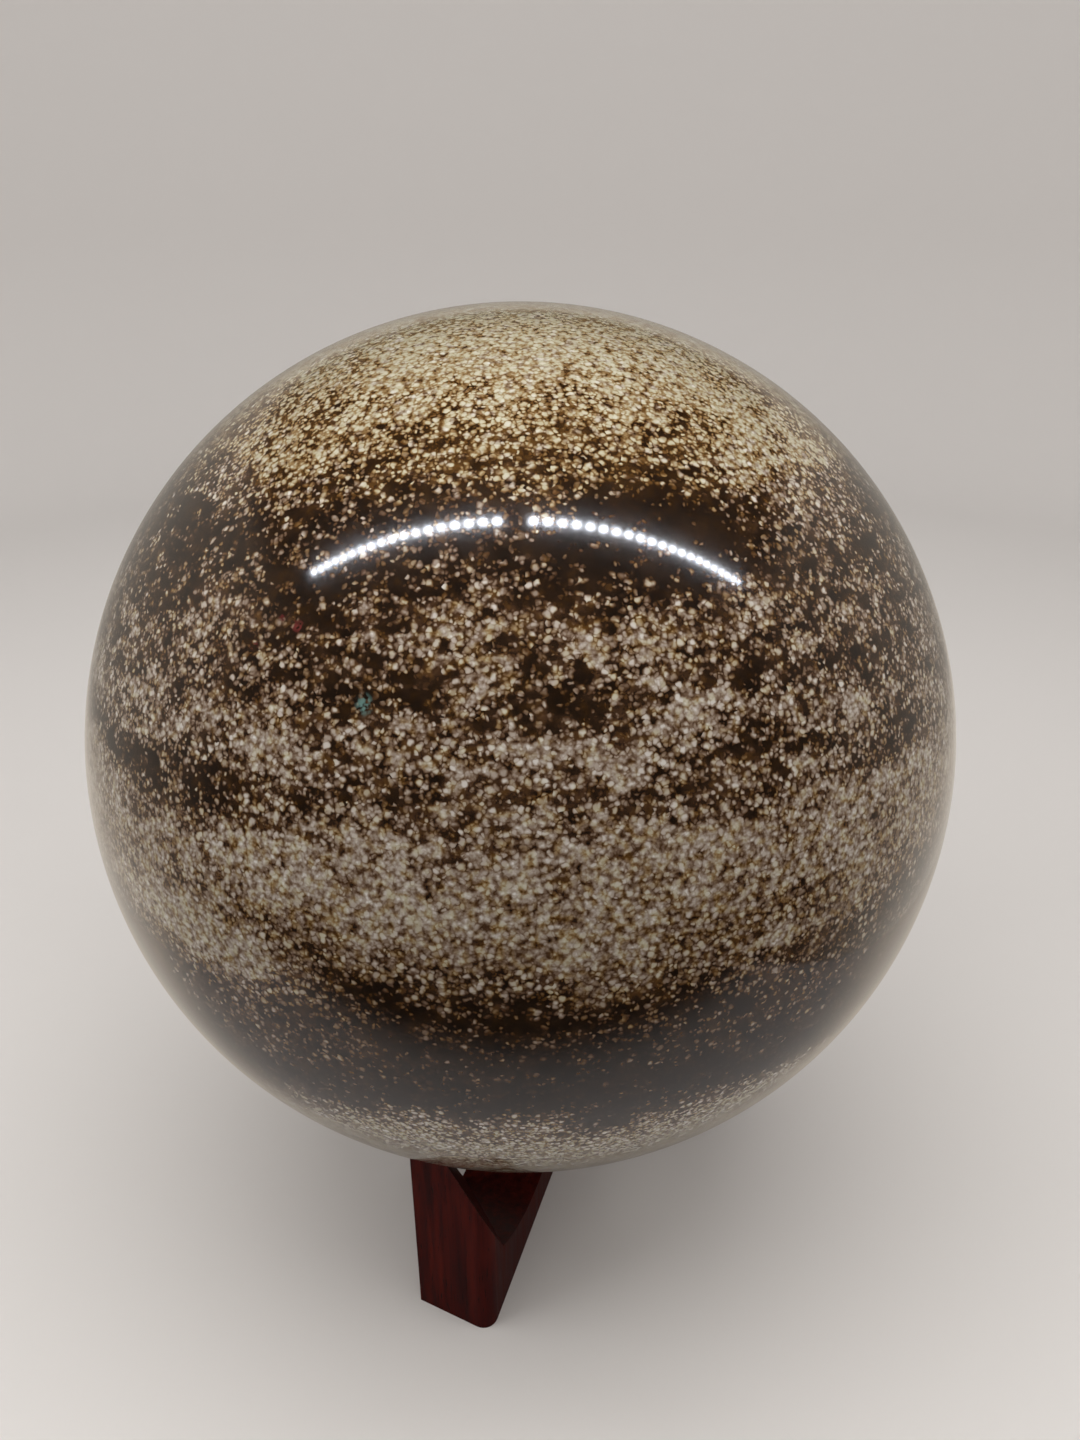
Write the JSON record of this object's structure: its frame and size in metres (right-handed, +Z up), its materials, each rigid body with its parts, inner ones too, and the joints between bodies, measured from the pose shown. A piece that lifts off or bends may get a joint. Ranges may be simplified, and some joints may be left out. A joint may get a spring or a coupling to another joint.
{
  "type": "ocean jasper sphere on a wooden stand",
  "caption": "Polished ball of banded, finely grained ocean jasper resting on a low tripod stand of red lacquered wood with bars on the table and short posts that hold the ball.",
  "frame": {"origin": "on the surface that the stand rests on, straight under the centre of the ball", "axes": "+Z up through the ball's centre; -Y towards the viewer of the picture; +X to that viewer's right"},
  "size_m": [0.12, 0.12, 0.137],
  "materials": {
    "ocean_jasper": "polished",
    "red_wood": "gloss"
  },
  "bodies": {
    "root": {"jasper_sphere": "ocean_jasper", "stand_leg_front": "red_wood", "stand_leg_right": "red_wood", "stand_leg_left": "red_wood"}
  },
  "joints": []
}
